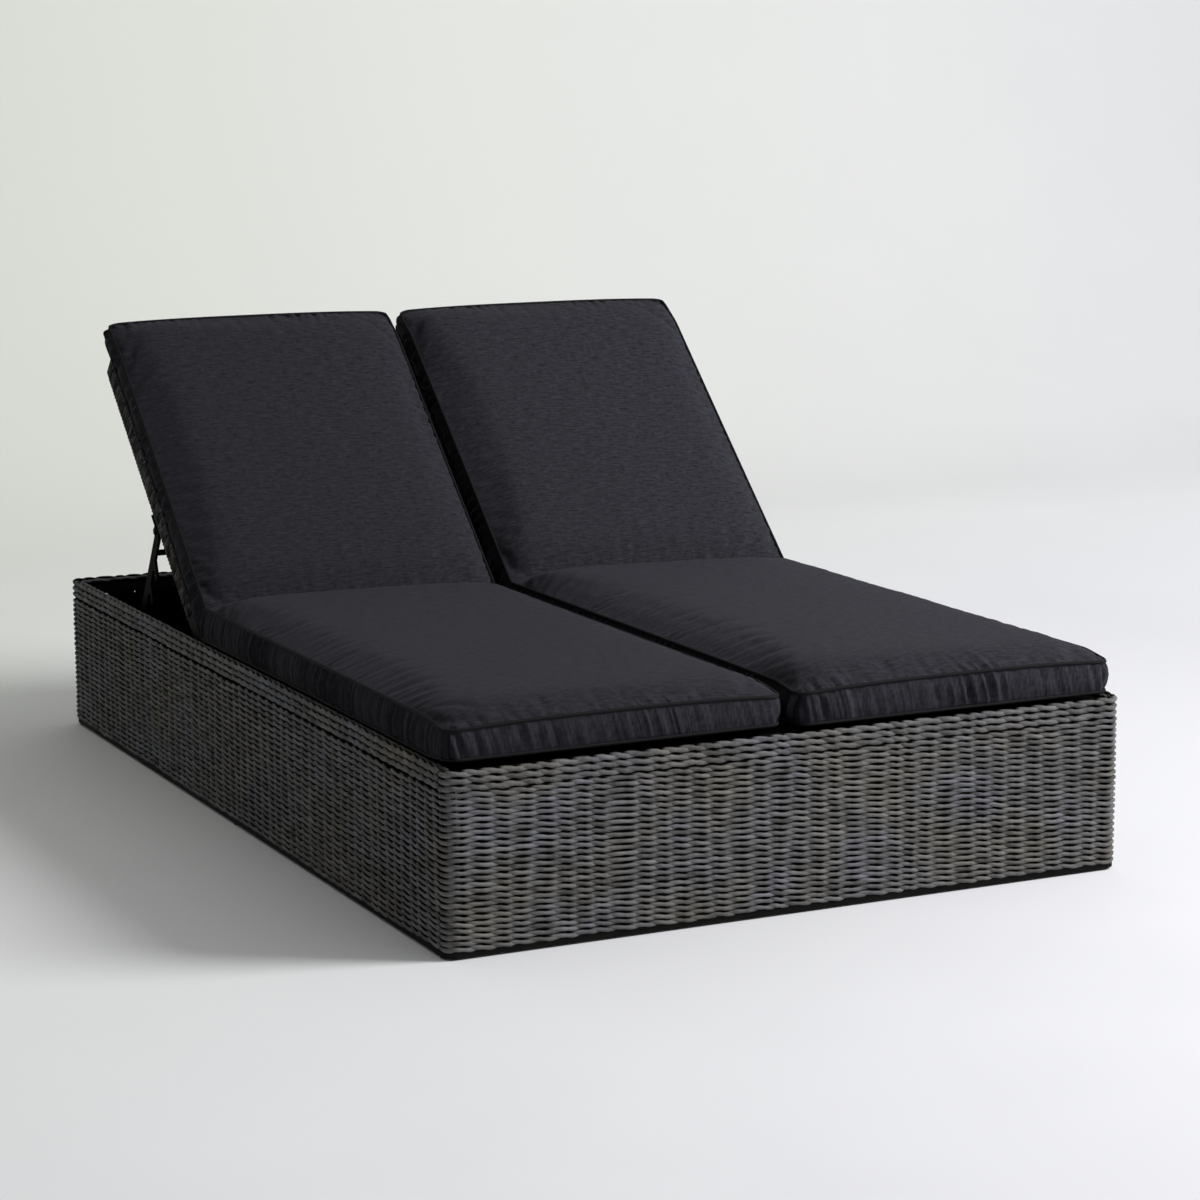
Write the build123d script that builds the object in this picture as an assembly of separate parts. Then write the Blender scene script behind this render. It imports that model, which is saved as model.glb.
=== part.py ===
from build123d import *
from math import cos, radians, sin
import os

# Double chaise lounger: a woven box base, two seats, and two backs that recline by themselves.
# X is the width, +Y points to the head end, +Z is up, and the origin is on the floor at the middle.

# Overall sizes
overall_width = 1270.0
overall_length = 2000.0
wall_height = 300.0

# Base walls, from the outside in: border, woven skin, tube
rim_proud = 2.0
skin_thickness = 4.0
rail_size = 16.0
rim_depth = 28.0
rim_cap = 5.0
rim_rounding = 6.0
glide_height = 4.0
glide_radius = 9.0

# Places of the posts, as shares of half the length or half the width
side_post_shares = (-0.66, -0.33, 0.0, 0.33)
end_post_shares = (-0.5, 0.0, 0.5)
glide_side_shares = (-0.97, 0.0, 0.97)

# Seat deck
deck_thickness = 6.0
deck_side_gap = 2.0
cross_rail_size = 25.0
centre_gap = 28.0
seat_rail_shares = (-0.58, -0.2)
centre_post_share = -0.4

# Backs and their hinges
hinge_share = 0.215
back_head_gap = 11.0
back_side_gap = 2.5
back_rail_width = 20.0
back_rail_depth = 46.0
wrap_thickness = 3.0
wrap_start = 105.0
lower_rail_start = 60.0
back_panel_thickness = 6.0
recline_rest = 42.5
recline_top = 54.5
hinge_pin_radius = 5.0
hinge_ear_radius = 12.0
bracket_sheet = 3.0
leg_side_gap = 0.4
hinge_sheet_gap = 2.0

# Claw stays that prop the backs
stay_pivot_reach = 350.0
stay_pivot_drop = 21.0
stay_thickness = 5.0
stay_width = 24.0
stay_eye_radius = 14.0
stay_pin_radius = 4.0
stay_side_gap = 0.4
stay_lean = 58.0
claw_count = 5
claw_pitch = 60.0
claw_mouth_radius = 8.0
claw_arm = 11.0
claw_run = 40.0
claw_shoulder = 12.0
claw_tip = 8.0
claws_above_stud_count = 3
stay_tail = 18.0
tie_rod_reach = 56.0
tie_rod_radius = 6.0
stay_bracket_half_length = 25.0
stay_bolt_flats = 13.0
stay_bolt_head = 4.0
pin_head_height = 1.6
pin_head_extra = 2.5

# Studs that the claws drop over
stud_height = 232.0
stud_radius = 7.0
stud_collar_radius = 11.0
stud_collar = 3.0
post_top_extra = 16.0

# Cushions
cushion_overhang = 5.0
cushion_end_inset = 20.0
cushion_edge = 74.0
cushion_crown = 86.0
cushion_end_edge = 64.0
cushion_swell_run = 90.0
cushion_corner = 28.0
cushion_drawn_in = 4.0
soft_gap = 0.4

# Clearances
pin_gap = 0.05
overrun = 10.0

# Sizes that follow from the ones above
half_width = overall_width / 2
half_length = overall_length / 2
wall_thickness = rim_proud + skin_thickness + rail_size
inner_x = half_width - wall_thickness
inner_y = half_length - wall_thickness
bottom_rail_top = glide_height + rail_size
top_rail_top = wall_height - rim_cap
top_rail_bottom = top_rail_top - rail_size
deck_bottom = wall_height - deck_thickness
cross_rail_bottom = deck_bottom - cross_rail_size
centre_rail_bottom = cross_rail_bottom - rail_size
wrap_width = back_rail_width + 2 * wrap_thickness
wrap_half_depth = back_rail_depth / 2 + wrap_thickness
hinge_y = hinge_share * half_length
hinge_z = wall_height - wrap_half_depth
back_length = inner_y - back_head_gap - hinge_y
back_outer_x = inner_x - back_side_gap
back_inner_x = centre_gap / 2
outer_rail_x = back_outer_x - wrap_width / 2
inner_rail_x = back_inner_x + wrap_width / 2
leg_round = back_rail_depth / 2
hinge_sheet_y = hinge_y - leg_round - hinge_sheet_gap
hinge_rail_y = hinge_sheet_y - bracket_sheet
back_rail_end = back_length - wrap_thickness - back_rail_width
stay_pivot_depth = wrap_half_depth + stay_pivot_drop
stay_half_gap = stay_thickness / 2 + stay_side_gap
claw_middle = stay_width / 2 + claw_mouth_radius
claw_outer = stay_width / 2 + 2 * claw_mouth_radius + claw_arm
cushion_outer_x = inner_x + cushion_overhang
cushion_foot_y = cushion_end_inset - half_length
cushion_back_length = half_length - cushion_end_inset - hinge_y
fold_half_angle = recline_top / 2
far = overall_length

# The pivot of a stay, found from the raised back
rest = radians(recline_rest)
lean = radians(-stay_lean)
stay_pivot_y = hinge_y + stay_pivot_reach * cos(rest) + stay_pivot_depth * sin(rest)
stay_pivot_z = hinge_z + stay_pivot_reach * sin(rest) - stay_pivot_depth * cos(rest)

# The claw in use has its mouth at the height of the stud
claw_in_use_reach = (stay_pivot_z - stud_height - claw_middle * cos(lean)) / -sin(lean)
first_claw_reach = claw_in_use_reach - claws_above_stud_count * claw_pitch
stay_length = first_claw_reach + (claw_count - 1) * claw_pitch + stay_tail
stud_y = stay_pivot_y + claw_in_use_reach * cos(lean) + claw_middle * sin(lean)


def block(x_range, y_range, z_range):
    """A box between two values on each axis."""
    size = [high - low for low, high in (x_range, y_range, z_range)]
    middle = [(high + low) / 2 for low, high in (x_range, y_range, z_range)]
    return Pos(*middle) * Box(*size)


def rod(x_range, y, z, radius):
    """A round bar along X."""
    length = x_range[1] - x_range[0]
    return Pos((x_range[0] + x_range[1]) / 2, y, z) * Rot(0, 90, 0) * Cylinder(radius, length)


def outline(inset):
    """The plan of the base, drawn in from its outer face."""
    width = overall_width - 2 * inset
    length = overall_length - 2 * inset
    if inset >= wall_thickness:
        return Rectangle(width, length)
    return RectangleRounded(width, length, wall_thickness - inset)


def ring(outer_inset, inner_inset, z_range):
    """A band of the base wall, all the way round."""
    band = outline(outer_inset) - outline(inner_inset)
    return extrude(Pos(0, 0, z_range[0]) * band, z_range[1] - z_range[0])


def four_sides(band):
    """The band cut into its foot, head, left and right pieces."""
    across = (-half_width - overrun, half_width + overrun)
    height = (-overrun, wall_height + overrun)
    along = (-inner_y, inner_y)
    return {
        "foot": band & block(across, (-half_length - overrun, -inner_y), height),
        "head": band & block(across, (inner_y, half_length + overrun), height),
        "left": band & block((across[0], 0), along, height),
        "right": band & block((0, across[1]), along, height),
    }


def mirrored(shape):
    """The same piece on the other side of the middle."""
    return mirror(shape, Plane.YZ)


def raised(shape):
    """A piece drawn on a flat back, turned up about the hinge to the rest angle."""
    return Pos(0, hinge_y, hinge_z) * Rot(recline_rest, 0, 0) * shape


# Base walls
def bottom_rails():
    return four_sides(ring(rim_proud, wall_thickness, (glide_height, bottom_rail_top)))


def top_rails():
    rail_inset = rim_proud + skin_thickness
    return four_sides(ring(rail_inset, wall_thickness, (top_rail_bottom, top_rail_top)))


def woven_walls():
    rail_inset = rim_proud + skin_thickness
    return four_sides(ring(rim_proud, rail_inset, (bottom_rail_top, wall_height - rim_depth)))


def woven_rims():
    """The thick border that turns over the top rail."""
    rail_inset = rim_proud + skin_thickness
    skirt = ring(0, rail_inset, (wall_height - rim_depth, top_rail_top))
    cap = ring(0, wall_thickness, (top_rail_top, wall_height))
    border = skirt + cap
    top_face = border.faces().sort_by(Axis.Z)[-1]
    return four_sides(fillet(top_face.outer_wire().edges(), rim_rounding))


def side_posts():
    """Upright tubes in the left wall, with one behind the stay's stud."""
    places = [share * half_length for share in side_post_shares] + [stud_y]
    x_range = (-inner_x - rail_size, -inner_x)
    half = rail_size / 2
    height = (bottom_rail_top, top_rail_bottom)
    return Compound([block(x_range, (y - half, y + half), height) for y in places])


def end_posts(end):
    """Corner posts and middle posts of the foot or head wall."""
    height = (bottom_rail_top, top_rail_bottom)
    y_range = sorted((end * inner_y, end * (inner_y + rail_size)))
    half = rail_size / 2
    rail_inset = rim_proud + skin_thickness
    band = ring(rail_inset, wall_thickness, height)
    corners = [
        band & block(sorted((side * inner_x, side * (inner_x + rail_size))), y_range, height)
        for side in (-1, 1)
    ]
    places = [share * half_width for share in end_post_shares]
    middle = [block((x - half, x + half), y_range, height) for x in places]
    return Compound([corner.solids()[0] for corner in corners] + middle)


def floor_glides():
    """Discs under the bottom rails."""
    inset = rim_proud + (wall_thickness - rim_proud) / 2
    rows = [share * half_length for share in glide_side_shares]
    spots = [(side * (half_width - inset), y) for side in (-1, 1) for y in rows]
    disc = Pos(0, 0, glide_height / 2) * Cylinder(glide_radius, glide_height)
    return Compound([Pos(x, y, 0) * disc for x, y in spots])


# Frame under the seats
def centre_bottom_rail():
    half = rail_size / 2
    return block((-half, half), (-inner_y, inner_y), (glide_height, bottom_rail_top))


def centre_top_rail():
    half = rail_size / 2
    return block((-half, half), (-inner_y, hinge_rail_y), (centre_rail_bottom, cross_rail_bottom))


def centre_posts():
    """Three posts on the middle line; the last carries the inner studs."""
    half = rail_size / 2
    seat_y = centre_post_share * half_length
    hinge_post_y = hinge_rail_y - half
    places = [(seat_y, centre_rail_bottom), (hinge_post_y, centre_rail_bottom)]
    places.append((stud_y, stud_height + post_top_extra))
    posts = [block((-half, half), (y - half, y + half), (bottom_rail_top, top)) for y, top in places]
    return Compound(posts)


def bottom_cross_rails():
    """Rails from the side walls to the centre rail, at the floor."""
    half = rail_size / 2
    pieces = []
    for y in (centre_post_share * half_length, stud_y):
        left = block((-inner_x, -half), (y - half, y + half), (glide_height, bottom_rail_top))
        pieces += [left, mirrored(left)]
    return Compound(pieces)


def cross_rail(y):
    """A rail across the whole base, under the seat deck, from its foot side at y."""
    return block((-inner_x, inner_x), (y, y + cross_rail_size), (cross_rail_bottom, deck_bottom))


def seat_cross_rails():
    places = [-inner_y] + [share * half_length for share in seat_rail_shares]
    return Compound([cross_rail(y) for y in places])


def hinge_cross_rail():
    return cross_rail(hinge_rail_y - cross_rail_size)


def seat_deck():
    """The left woven deck that carries the seat cushion."""
    x_range = (-inner_x + deck_side_gap, -centre_gap / 2)
    y_range = (-inner_y + deck_side_gap, hinge_rail_y)
    return block(x_range, y_range, (deck_bottom, wall_height))


# Hinges of the backs
def hinge_bracket(x):
    """A bent sheet bracket with an ear on each side of the back's leg."""
    half = back_rail_width / 2 + leg_side_gap
    outer = half + bracket_sheet
    height = (cross_rail_bottom, deck_bottom)
    sheet = block((x - outer, x + outer), (hinge_rail_y, hinge_sheet_y), height)
    pieces = [sheet]
    for low, high in ((x - outer, x - half), (x + half, x + outer)):
        web = block((low, high), (hinge_sheet_y, hinge_y), (hinge_z - hinge_ear_radius, deck_bottom))
        ear = rod((low, high), hinge_y, hinge_z, hinge_ear_radius)
        pieces += [web, ear]
    bracket = pieces[0].fuse(*pieces[1:])
    hole = rod((x - outer - overrun, x + outer + overrun), hinge_y, hinge_z, hinge_pin_radius + pin_gap)
    return (bracket - hole).solids()[0]


def hinge_pin(x):
    """A pin with a low head at each end."""
    half = back_rail_width / 2 + leg_side_gap + bracket_sheet
    head = hinge_pin_radius + pin_head_extra
    shaft = rod((x - half, x + half), hinge_y, hinge_z, hinge_pin_radius)
    left = rod((x - half - pin_head_height, x - half), hinge_y, hinge_z, head)
    right = rod((x + half, x + half + pin_head_height), hinge_y, hinge_z, head)
    return (shaft + left + right).solids()[0]


def hinge_places():
    return (-outer_rail_x, -inner_rail_x, inner_rail_x, outer_rail_x)


def hinge_brackets():
    return Compound([hinge_bracket(x) for x in hinge_places()])


def hinge_pins():
    return Compound([hinge_pin(x) for x in hinge_places()])


def stay_stud(x_start, x_end):
    """A stud with a collar against its post, stopping short of the stay's plate."""
    side = 1 if x_end > x_start else -1
    collar = rod(sorted((x_start, x_start + side * stud_collar)), stud_y, stud_height, stud_collar_radius)
    shank = rod(sorted((x_start, x_end)), stud_y, stud_height, stud_radius)
    return (collar + shank).solids()[0]


def stay_studs():
    half = rail_size / 2
    outer = stay_stud(-inner_x, -outer_rail_x - stay_half_gap)
    inner = stay_stud(-half, -inner_rail_x + stay_half_gap)
    return Compound([outer, inner, mirrored(inner), mirrored(outer)])


# The left back, drawn flat from its hinge: Y runs up the back and Z is towards the cushion
def back_side_rail(x):
    """A side tube with a round lower end on the hinge pin."""
    half_depth = back_rail_depth / 2
    half = back_rail_width / 2
    tube = block((x - half, x + half), (0, back_rail_end), (-half_depth, half_depth))
    foot = rod((x - half, x + half), 0, 0, leg_round)
    hole = rod((x - half - overrun, x + half + overrun), 0, 0, hinge_pin_radius + pin_gap)
    return raised((tube + foot - hole).solids()[0])


def back_top_rail():
    half_depth = back_rail_depth / 2
    x_range = (-back_outer_x + wrap_thickness, -back_inner_x - wrap_thickness)
    y_range = (back_rail_end, back_rail_end + back_rail_width)
    return raised(block(x_range, y_range, (-half_depth, half_depth)))


def back_lower_rail():
    half = back_rail_width / 2
    x_range = (-outer_rail_x + half, -inner_rail_x - half)
    y_range = (lower_rail_start, lower_rail_start + back_rail_width)
    z_range = (-back_rail_depth / 2, wrap_half_depth - back_panel_thickness)
    return raised(block(x_range, y_range, z_range))


def back_panel():
    """The woven panel between the wrapped tubes."""
    x_range = (-back_outer_x + wrap_width, -back_inner_x - wrap_width)
    y_range = (lower_rail_start, back_rail_end - wrap_thickness)
    return raised(block(x_range, y_range, (wrap_half_depth - back_panel_thickness, wrap_half_depth)))


def side_wrap(x):
    """Strand wound round a side tube."""
    half_depth = back_rail_depth / 2
    half = back_rail_width / 2
    y_range = (wrap_start, back_rail_end - wrap_thickness)
    outside = block((x - wrap_width / 2, x + wrap_width / 2), y_range, (-wrap_half_depth, wrap_half_depth))
    long_range = (y_range[0] - overrun, y_range[1] + overrun)
    core = block((x - half, x + half), long_range, (-half_depth, half_depth))
    return raised(outside - core).solids()[0]


def top_wrap():
    """Strand wound round the top tube and over its corners."""
    half_depth = back_rail_depth / 2
    x_range = (-back_outer_x, -back_inner_x)
    low = back_rail_end - wrap_thickness
    outside = block(x_range, (low, back_length), (-wrap_half_depth, wrap_half_depth))
    corners = outside.edges().filter_by(Axis.Z).group_by(Axis.Y)[-1]
    outside = fillet(corners, wrap_thickness * 2)
    rail_x = (x_range[0] + wrap_thickness, x_range[1] - wrap_thickness)
    core = block(rail_x, (back_rail_end, back_rail_end + back_rail_width), (-half_depth, half_depth))
    tubes = [
        block((x - back_rail_width / 2, x + back_rail_width / 2), (low - overrun, back_rail_end),
              (-half_depth, half_depth))
        for x in (-outer_rail_x, -inner_rail_x)
    ]
    return raised(outside - core - tubes[0] - tubes[1]).solids()[0]


def back_wraps():
    return Compound([side_wrap(-outer_rail_x), side_wrap(-inner_rail_x), top_wrap()])


# Claw stays
def stay_bracket(x):
    """A sheet bracket behind a side tube, with two ears for the stay's pin."""
    sheet_bottom = -wrap_half_depth - bracket_sheet
    y_range = (stay_pivot_reach - stay_bracket_half_length, stay_pivot_reach + stay_bracket_half_length)
    sheet = block((x - wrap_width / 2, x + wrap_width / 2), y_range, (sheet_bottom, -wrap_half_depth))
    pieces = [sheet]
    ear_y = (stay_pivot_reach - stay_eye_radius, stay_pivot_reach + stay_eye_radius)
    for low, high in ((x - stay_half_gap - bracket_sheet, x - stay_half_gap),
                      (x + stay_half_gap, x + stay_half_gap + bracket_sheet)):
        web = block((low, high), ear_y, (-stay_pivot_depth, sheet_bottom))
        ear = rod((low, high), stay_pivot_reach, -stay_pivot_depth, stay_eye_radius)
        pieces += [web, ear]
    bracket = pieces[0].fuse(*pieces[1:])
    reach = stay_half_gap + bracket_sheet + overrun
    hole = rod((x - reach, x + reach), stay_pivot_reach, -stay_pivot_depth, stay_pin_radius + pin_gap)
    return raised(bracket - hole).solids()[0]


def hexagon(x_range, y, z, flats):
    """A six-sided head or nut along X, measured across its flats."""
    length = x_range[1] - x_range[0]
    prism = extrude(RegularPolygon(flats / 2, 6, major_radius=False), length / 2, both=True)
    return Pos((x_range[0] + x_range[1]) / 2, y, z) * Rot(0, 90, 0) * prism


def stay_pin(x):
    """A bolt through both ears, with its nut on the far side."""
    half = stay_half_gap + bracket_sheet
    place = (stay_pivot_reach, -stay_pivot_depth)
    shaft = rod((x - half, x + half), *place, stay_pin_radius)
    head = hexagon((x - half - stay_bolt_head, x - half), *place, stay_bolt_flats)
    nut = hexagon((x + half, x + half + stay_bolt_head), *place, stay_bolt_flats)
    return raised(shaft + head + nut).solids()[0]


def stay_plane(x):
    """Local X runs down the stay from its pivot and local Y towards the claws."""
    return Plane(origin=(x, stay_pivot_y, stay_pivot_z), x_dir=(0, cos(lean), sin(lean)), z_dir=(-1, 0, 0))


def claw(reach):
    """A hooked tooth: a sloping back, a round shoulder and a mouth open towards the tail."""
    root = (reach - claw_run, 0)
    shoulder = (reach - claw_shoulder, claw_outer - claw_arm / 2)
    crest = (reach - claw_shoulder / 2, claw_outer)
    tip = (reach + claw_tip, claw_outer - claw_arm / 2)
    inner = (reach, claw_outer - claw_arm)
    edges = [
        Line(root, shoulder),
        ThreePointArc(shoulder, ((shoulder[0] + crest[0]) / 2 - claw_arm / 8, claw_outer - claw_arm / 8), crest),
        Line(crest, tip),
        Line(tip, inner),
        Line(inner, (reach, 0)),
        Line((reach, 0), root),
    ]
    return make_face(edges)


def stay_outline():
    """The flat shape of a stay: eye, bar and claws."""
    bar = Pos(stay_length / 2, 0) * Rectangle(stay_length, stay_width)
    shape = bar + Circle(stay_eye_radius) + Pos(stay_length, 0) * Circle(stay_width / 2)
    reaches = [first_claw_reach + index * claw_pitch for index in range(claw_count)]
    for reach in reaches:
        shape = shape + claw(reach)
    for reach in reaches:
        shape = shape - Pos(reach, claw_middle) * Circle(claw_mouth_radius)
    return shape - Circle(stay_pin_radius + pin_gap)


def stay(x):
    """A claw stay cut from flat bar."""
    plate = extrude(stay_plane(x) * stay_outline(), stay_thickness / 2, both=True)
    return plate.solids()[0]


def tie_rod():
    """The round bar that joins the two stays of a back."""
    y = stay_pivot_y + tie_rod_reach * cos(lean)
    z = stay_pivot_z + tie_rod_reach * sin(lean)
    x_range = (-outer_rail_x + stay_thickness / 2, -inner_rail_x - stay_thickness / 2)
    return rod(x_range, y, z, tie_rod_radius)


# Cushions
def cushion_plan(length):
    """Plan of a cushion from its closed end at zero, with drawn-in sides and round corners."""
    left = -cushion_outer_x
    right = -back_inner_x
    middle = (left + right) / 2
    near = cushion_corner
    turn = cushion_corner * (1 - sin(radians(45)))
    waist = (length + near) / 2
    edges = [
        Line((right, length), (left, length)),
        ThreePointArc((left, length), (left + cushion_drawn_in, waist), (left, near)),
        ThreePointArc((left, near), (left + turn, turn), (left + near, 0)),
        ThreePointArc((left + near, 0), (middle, cushion_drawn_in), (right - near, 0)),
        ThreePointArc((right - near, 0), (right - turn, turn), (right, near)),
        ThreePointArc((right, near), (right - cushion_drawn_in, waist), (right, length)),
    ]
    return make_face(edges)


def cushion_crown_block(length):
    """The crowned cross-section of a cushion, drawn out along it."""
    left = -cushion_outer_x - overrun
    right = -back_inner_x + overrun
    middle = (left + right) / 2
    edges = [
        Line((left, 0), (right, 0)),
        Line((right, 0), (right, cushion_edge)),
        ThreePointArc((right, cushion_edge), (middle, cushion_crown), (left, cushion_edge)),
        Line((left, cushion_edge), (left, 0)),
    ]
    section = Plane(origin=(0, length, 0), x_dir=(1, 0, 0), z_dir=(0, -1, 0)) * make_face(edges)
    return extrude(section, length + overrun)


def cushion_end_block(length):
    """The side view of a cushion, which swells from its closed end."""
    turn = radians(45)
    swell = cushion_crown - cushion_end_edge
    on_curve = (cushion_swell_run * (1 - cos(turn)), cushion_end_edge + swell * sin(turn))
    edges = [
        Line((0, -overrun), (length, -overrun)),
        Line((length, -overrun), (length, cushion_crown)),
        Line((length, cushion_crown), (cushion_swell_run, cushion_crown)),
        ThreePointArc((cushion_swell_run, cushion_crown), on_curve, (0, cushion_end_edge)),
        Line((0, cushion_end_edge), (0, -overrun)),
    ]
    return extrude(Plane.YZ * make_face(edges), cushion_outer_x + overrun, both=True)


def cushion(length):
    """A crowned cushion whose closed end is at zero and whose open end is at its length."""
    plan = extrude(Pos(0, 0, -overrun) * cushion_plan(length), cushion_crown + 2 * overrun)
    return plan & cushion_crown_block(length) & cushion_end_block(length)


def seat_cushion():
    """The seat part, cut back at the fold so that the raised back clears it."""
    length = hinge_y - cushion_foot_y + cushion_crown
    whole = Pos(0, cushion_foot_y, wall_height) * cushion(length)
    beyond = block((-far, far), (-soft_gap, far), (-far, far))
    return (whole - Pos(0, hinge_y, hinge_z) * Rot(fold_half_angle, 0, 0) * beyond).solids()[0]


def back_cushion():
    """The back part, cut at the same fold, lying on the raised panel."""
    length = cushion_back_length + cushion_crown
    lying = mirror(cushion(length), Plane.XZ)
    whole = Pos(0, cushion_back_length, wrap_half_depth + soft_gap) * lying
    before = block((-far, far), (-far, soft_gap), (-far, far))
    return raised(whole - Rot(-fold_half_angle, 0, 0) * before).solids()[0]


def left_nodes():
    """Every piece of the left half that has a twin on the right."""
    return {
        "wall_posts": side_posts(),
        "seat_deck": seat_deck(),
        "seat_cushion": seat_cushion(),
        "back_outer_rail": back_side_rail(-outer_rail_x),
        "back_inner_rail": back_side_rail(-inner_rail_x),
        "back_top_rail": back_top_rail(),
        "back_lower_rail": back_lower_rail(),
        "back_panel": back_panel(),
        "back_wraps": back_wraps(),
        "back_cushion": back_cushion(),
        "stay_brackets": Compound([stay_bracket(-outer_rail_x), stay_bracket(-inner_rail_x)]),
        "stay_pins": Compound([stay_pin(-outer_rail_x), stay_pin(-inner_rail_x)]),
        "outer_stay": stay(-outer_rail_x),
        "inner_stay": stay(-inner_rail_x),
        "stay_tie_rod": tie_rod(),
    }


def all_nodes():
    nodes = {}
    bands = {"bottom_rail": bottom_rails(), "top_rail": top_rails()}
    bands["woven_wall"] = woven_walls()
    bands["woven_rim"] = woven_rims()
    for name, sides in bands.items():
        for side, piece in sides.items():
            nodes[f"{side}_{name}"] = piece
    nodes["foot_wall_posts"] = end_posts(-1)
    nodes["head_wall_posts"] = end_posts(1)
    nodes["floor_glides"] = floor_glides()
    nodes["centre_bottom_rail"] = centre_bottom_rail()
    nodes["centre_top_rail"] = centre_top_rail()
    nodes["centre_posts"] = centre_posts()
    nodes["bottom_cross_rails"] = bottom_cross_rails()
    nodes["seat_cross_rails"] = seat_cross_rails()
    nodes["hinge_cross_rail"] = hinge_cross_rail()
    nodes["hinge_brackets"] = hinge_brackets()
    nodes["hinge_pins"] = hinge_pins()
    nodes["stay_studs"] = stay_studs()
    for name, piece in left_nodes().items():
        nodes[f"left_{name}"] = piece
        nodes[f"right_{name}"] = mirrored(piece)
    return nodes


os.makedirs("parts", exist_ok=True)
for node, shape in all_nodes().items():
    export_step(shape, f"parts/{node}.step")
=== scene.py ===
"""Double chaise lounger: woven resin over a metal frame, two folding backs and two folded cushions."""

import math

import bpy
import numpy as np
from mathutils import Matrix, Vector


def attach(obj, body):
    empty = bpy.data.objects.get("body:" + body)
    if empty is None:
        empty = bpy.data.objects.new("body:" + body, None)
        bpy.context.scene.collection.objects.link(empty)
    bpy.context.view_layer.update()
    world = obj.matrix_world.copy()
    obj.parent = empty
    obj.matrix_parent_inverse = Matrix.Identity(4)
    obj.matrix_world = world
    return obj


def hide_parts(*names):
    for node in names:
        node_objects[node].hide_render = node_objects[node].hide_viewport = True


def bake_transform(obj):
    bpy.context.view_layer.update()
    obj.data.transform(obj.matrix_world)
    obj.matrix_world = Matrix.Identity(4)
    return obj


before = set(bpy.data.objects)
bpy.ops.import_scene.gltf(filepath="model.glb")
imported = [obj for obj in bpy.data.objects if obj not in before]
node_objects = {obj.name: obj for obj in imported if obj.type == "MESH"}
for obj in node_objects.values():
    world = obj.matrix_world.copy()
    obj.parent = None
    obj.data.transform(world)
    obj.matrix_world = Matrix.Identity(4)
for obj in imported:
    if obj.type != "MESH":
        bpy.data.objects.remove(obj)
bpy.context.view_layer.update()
scene = bpy.context.scene

# Camera -------------------------------------------------------------------
# A long lens from the left of the foot end, a little above the cushions,
# where the photograph was taken from.
photo_camera = bpy.data.cameras.new("photo_camera")
photo_camera.sensor_width = 36.0
photo_camera.lens = 96.65
camera = bpy.data.objects.new("photo_camera", photo_camera)
camera_right = Vector((0.90014, -0.43557, -0.00504))
camera_up = Vector((0.08076, 0.15551, 0.98453))
camera_forward = Vector((0.42805, 0.88662, -0.17516))
camera.matrix_world = Matrix.Translation((-2.53703, -5.50338, 1.44664)) @ Matrix(
    (camera_right, camera_up, -camera_forward)
).transposed().to_4x4()
scene.collection.objects.link(camera)
scene.camera = camera
scene.view_settings.view_transform = "Standard"

# Aluminium frame ----------------------------------------------------------
# Square aluminium tubes, mitred and welded, under a matt black powder coat.
# The rails, posts and seat decks of the CAD model are shown as they are.
MM = 0.001


def linear(code):
    """A hex sRGB colour as the linear colour that the shader takes."""
    parts = [int(code[i : i + 2], 16) / 255 for i in (1, 3, 5)]
    return (*[p / 12.92 if p <= 0.04045 else ((p + 0.055) / 1.055) ** 2.4 for p in parts], 1.0)


def feed(node, wires):
    """Gives inputs their values, or what feeds them: an output, or a node for its first output."""
    for socket, value in wires.items():
        if isinstance(value, bpy.types.Node):
            value = next(output for output in value.outputs if output.enabled)
        if isinstance(value, bpy.types.NodeSocket):
            node.id_data.links.new(value, node.inputs[socket])
        else:
            node.inputs[socket].default_value = value


def put(tree, kind, wires=None, **settings):
    """Adds one node, of a ShaderNode kind unless it says otherwise, and feeds its inputs."""
    node = tree.nodes.new(kind if "Node" in kind else "ShaderNode" + kind)
    for name, value in settings.items():
        setattr(node, name, value)
    feed(node, wires or {})
    return node


def finish_named(name, roughness, **sockets):
    """A new material with its shader, whose constant values are set here."""
    material = bpy.data.materials.new(name)
    material.use_nodes = True
    tree = material.node_tree
    shader = tree.nodes["Principled BSDF"]
    feed(shader, {"Roughness": roughness})
    feed(shader, {socket.replace("_", " "): value for socket, value in sockets.items()})
    return material, tree, shader


def wear(nodes, material):
    """Gives CAD nodes one material."""
    for name in nodes:
        mesh = node_objects[name].data
        mesh.materials.clear()
        mesh.materials.append(material)


# Polyester powder coat, sprayed and baked: a fine orange peel about 1.5 mm
# across softens its sheen, and handling has polished it in patches.
powder_coat, tree, shader = finish_named("powder_coated_aluminium", 0.5, Specular_IOR_Level=0.03)
place = put(tree, "TexCoord").outputs["Object"]
peel = put(tree, "TexNoise", {"Vector": place, "Scale": 640.0})
patches = put(tree, "TexNoise", {"Vector": place, "Scale": 9.0, "Detail": 3.0})
tone = put(tree, "Mix", {"Factor": patches, "A": linear("#0e0e0e"), "B": linear("#1c1b1a")}, data_type="RGBA")
gloss = put(
    tree, "MapRange", {"Value": patches, "From Min": 0.3, "From Max": 0.7, "To Min": 0.42, "To Max": 0.6}
)
bump = put(tree, "Bump", {"Height": peel, "Strength": 0.25, "Distance": 0.15 * MM})
feed(shader, {"Base Color": tone, "Roughness": gloss, "Normal": bump})
wear([n for n in node_objects if n.endswith(("_rail", "_rails", "_posts", "_deck"))], powder_coat)

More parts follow.
